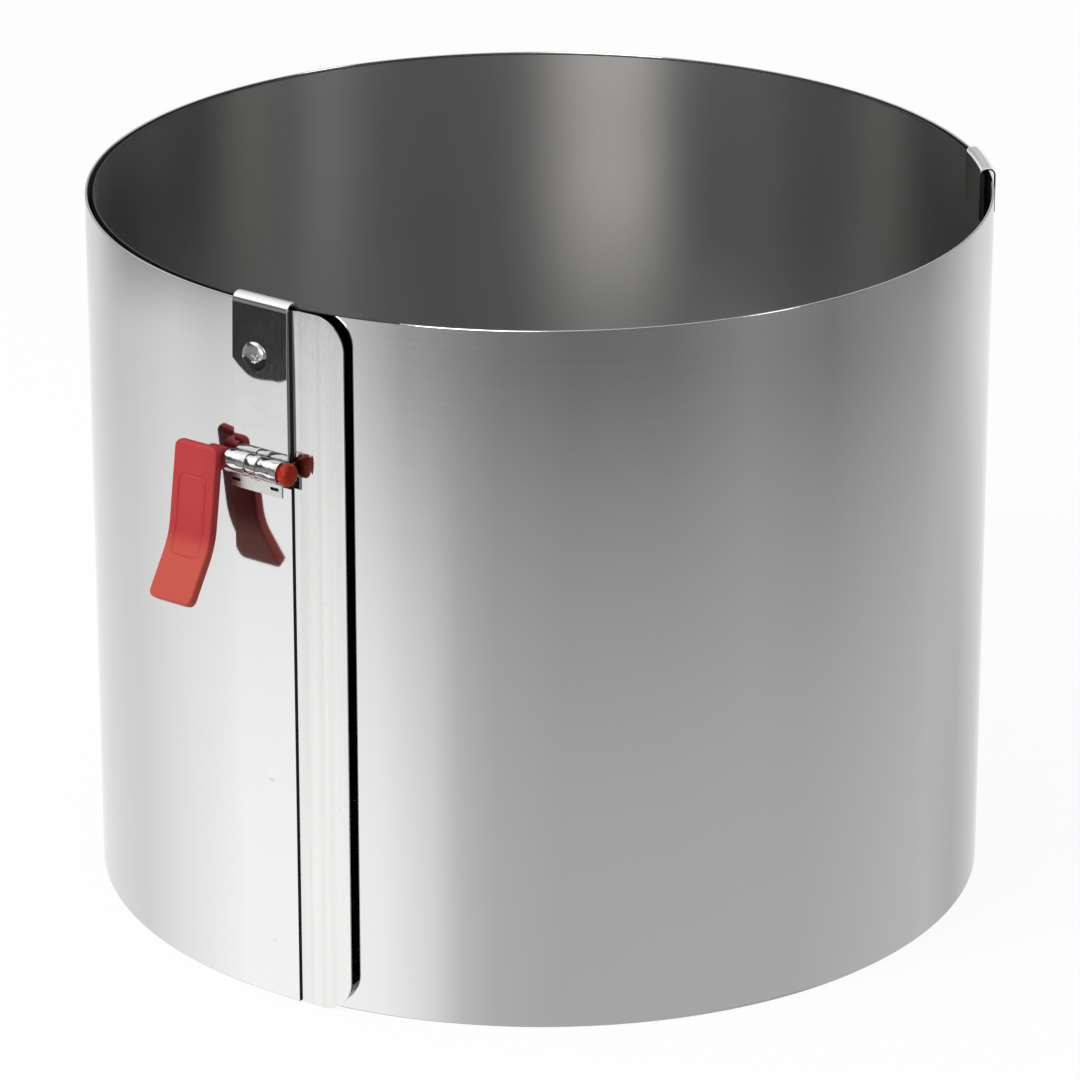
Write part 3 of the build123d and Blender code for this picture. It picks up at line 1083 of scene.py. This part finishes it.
level_panels = (
    (-180, 0.85), (-150, 0.85), (-126, 0.45), (-92, 0.30), (-60, 0.34)) + level_right_panels
ceiling_panels = (
    (-180, 0.6), (-140, 0.3), (-126, 0.05), (-84, 0.07), (-60, 0.3), (-34, 0.2), (-30, 8.2, 0.07),
    (-13, 8.2, 0.07), (2, 0.5), (20, 0.15), (51, 0.15), (57, 3.2), (65, 3.2), (68, 0.1), (110, 0.04),
    (140, 0.1), (180, 0.6))
overhead_panels = ((-180, 1.15), (-95, 1.7), (0, 0.7), (40, 0.35), (110, 0.35), (180, 1.15))

# Degrees up from and to which each row takes over from the one below, and how late it does so
panel_rows = (
    (-36.0, -31.0, 1.0, near_floor_panels),
    (-26.5, -19.5, 2.5, far_floor_panels),
    (-19.2, -18.4, 1.0, dark_flag_panels),
    (-15.5, -13.5, 1.0, level_panels),
    (8.0, 16.0, 1.0, ceiling_panels),
    (26.0, 34.0, 1.0, overhead_panels),
)


def ring_of_panels(tree, round_share, panels):
    """A colour ramp round the horizon, as a share of the panels' common strength."""
    node = add(tree, "ShaderNodeValToRGB", {"Fac": round_share})
    elements = node.color_ramp.elements
    while len(elements) > 1:
        elements.remove(elements[-1])
    for index, (azimuth, brightness, *warmth) in enumerate(panels):
        place = (azimuth + 180) / 360
        element = elements[0] if index == 0 else elements.new(place)
        element.position = place
        value, warm = brightness / panel_strength, sum(warmth)
        element.color = (value * (1 + warm / 2), value, value * (1 - warm / 2), 1)
    return node.outputs["Color"]


def build_world():
    """White to the camera, plain light for dull surfaces, and a studio of light and dark panels for steel."""
    world = bpy.data.worlds.new("studio")
    bpy.context.scene.world = world
    world.use_nodes = True
    tree = world.node_tree
    tree.nodes.clear()
    direction = add(tree, "ShaderNodeTexCoord").outputs["Generated"]
    split = add(tree, "ShaderNodeSeparateXYZ", {"Vector": direction})
    away = arithmetic(tree, "MULTIPLY", split.outputs["Y"], -1.0)
    turn = arithmetic(tree, "ARCTAN2", split.outputs["X"], away)
    round_share = remap(tree, turn, -pi, pi, 0.0, 1.0)
    rise = arithmetic(tree, "ARCSINE", split.outputs["Z"])
    panels = ring_of_panels(tree, round_share, under_panels)
    for low, high, lateness, row in panel_rows:
        share = remap(tree, rise, radians(low), radians(high), 0.0, 1.0)
        share = arithmetic(tree, "POWER", share, lateness)
        panels = mix_colours(tree, share, panels, ring_of_panels(tree, round_share, row))

    def light(colour, strength):
        return output_of(tree, "ShaderNodeBackground", {"Color": colour, "Strength": strength})

    rays = add(tree, "ShaderNodeLightPath").outputs
    after_dull = arithmetic(tree, "GREATER_THAN", rays["Diffuse Depth"], 0.5)
    dimmed = arithmetic(tree, "MULTIPLY", rays["Is Glossy Ray"], after_dull)
    shade = light(white, 0.40)
    for share, other in ((rays["Is Glossy Ray"], light(panels, panel_strength)), (dimmed, light(white, 0.12)),
                         (rays["Is Camera Ray"], light(white, 1.0))):
        shade = mix_shaders(tree, share, shade, other)
    add(tree, "ShaderNodeOutputWorld", {"Surface": shade})


def build_floor():
    """Pale floor with a faint shadow. Reflections see it only on a round patch inside the ring."""
    mesh = bpy.data.meshes.new("floor")
    corners = [(x * floor_half, y * floor_half, 0) for x, y in ((-1, -1), (1, -1), (1, 1), (-1, 1))]
    mesh.from_pydata(corners, [], [(0, 1, 2, 3)])
    floor = new_object("floor", mesh)
    floor.location.z = -floor_drop
    material, tree = new_material("floor_white")
    plain = output_of(tree, "ShaderNodeBsdfDiffuse", {"Color": (0.95, 0.95, 0.95, 1)})
    glow = output_of(tree, "ShaderNodeEmission", {"Color": white, "Strength": 1.02})
    rays = add(tree, "ShaderNodeLightPath").outputs
    to_camera = mix_shaders(tree, 0.92, plain, glow)
    seen = mix_shaders(tree, rays["Is Camera Ray"], plain, to_camera)
    place = add(tree, "ShaderNodeTexCoord").outputs["Object"]
    fixed_outward = strip_point(section_count // 2, 0.5)[1]
    apart = distance_from(tree, place, fixed_outward * (ring_radius - patch_radius))
    off_patch = arithmetic(tree, "GREATER_THAN", apart, patch_radius)
    passing = arithmetic(tree, "MULTIPLY", off_patch, rays["Is Glossy Ray"])
    clear = output_of(tree, "ShaderNodeBsdfTransparent")
    add(tree, "ShaderNodeOutputMaterial", {"Surface": mix_shaders(tree, passing, seen, clear)})
    give_finishes(mesh, material)


def aim(thing, place, target):
    thing.location = place
    thing.rotation_euler = (target - place).to_track_quat("-Z", "Y").to_euler()


def build_lamps():
    """Two large soft lamps, out of sight of the reflections."""
    for name, azimuth, elevation, distance, size, power in (
            ("key_panel", -50, 45, 1.1, 0.5, 6.5), ("fill_panel", -80, 30, 1.3, 0.9, 1.0)):
        data = bpy.data.lights.new(name, "AREA")
        data.shape = "SQUARE"
        data.size = size
        data.energy = power
        lamp = new_object(name, data)
        turn, rise = radians(azimuth), radians(elevation)
        target = Vector((0, 0, ring_height / 2))
        towards_lamp = Vector((sin(turn) * cos(rise), -cos(turn) * cos(rise), sin(rise)))
        aim(lamp, target + distance * towards_lamp, target)
        lamp.visible_glossy = False


def build_camera():
    data = bpy.data.cameras.new("camera")
    data.lens = 196.96
    data.sensor_width = 36.0
    data.clip_start, data.clip_end = 0.05, 20.0
    camera = new_object("camera", data)
    place = Vector((0.00032, -1.17706, 0.53054)) + frame_shift
    aim(camera, place, Vector((-0.00053, 0, 0.06972)) + frame_shift)
    bpy.context.scene.camera = camera


build_camera()
welds = [at_clamp(weld_along, height, 0) for height in weld_heights]
steel = rolled_steel("rolled_steel", tone=0.62, roughness=0.05, spread=0.3, welds=welds)
# The inner face's darker tone is painted shade inside the ring
steel_inside_shaded = rolled_steel("rolled_steel_inside_shaded", tone=0.52, roughness=0.30, spread=0.85)
# Near-black steel painted as shade on cut edges, inner rims, slots, the leaf's back and the rivet's underside
painted_shade_steel = dark_painted_shade()
bright = polished_steel()
streaked = polished_steel("end_strip_steel", (0.63, 0.63, 0.625), roughness=0.06, dents=0.01, streaks=0.5)
dented = polished_steel("knuckle_steel", (0.64, 0.64, 0.635), roughness=0.04, dents=1.0, dent_scale=260.0)
frosted = polished_steel("leaf_steel", (0.76, 0.76, 0.755), roughness=0.26, dents=0.05)
shiny = polished_steel("clip_steel", (0.92, 0.92, 0.91))
worn = polished_steel("rivet_steel", (0.66, 0.66, 0.655), roughness=0.16, dents=0.35, dent_scale=420.0)
# The tip colour is painted light: a lighter orange on the arm's upturned flare
red = red_plastic("red_plastic", (0.43, 0.031, 0.035), (0.51, 0.042, 0.043), tip=(0.53, 0.076, 0.052))
orange = red_plastic("cap_plastic", (0.30, 0.020, 0.008), (0.40, 0.026, 0.006), roughness=0.12, shine=0.22)
build_strip(steel, steel_inside_shaded, painted_shade_steel)
build_end_strip(streaked)
build_strap(bright, dented)
build_leaf(frosted, dented, painted_shade_steel)
build_rivet(worn, painted_shade_steel)
build_lever(red)
build_cap(orange)
build_clip(shiny, painted_shade_steel)
build_world()
build_floor()
build_lamps()

bpy.context.scene.view_settings.view_transform = "Standard"
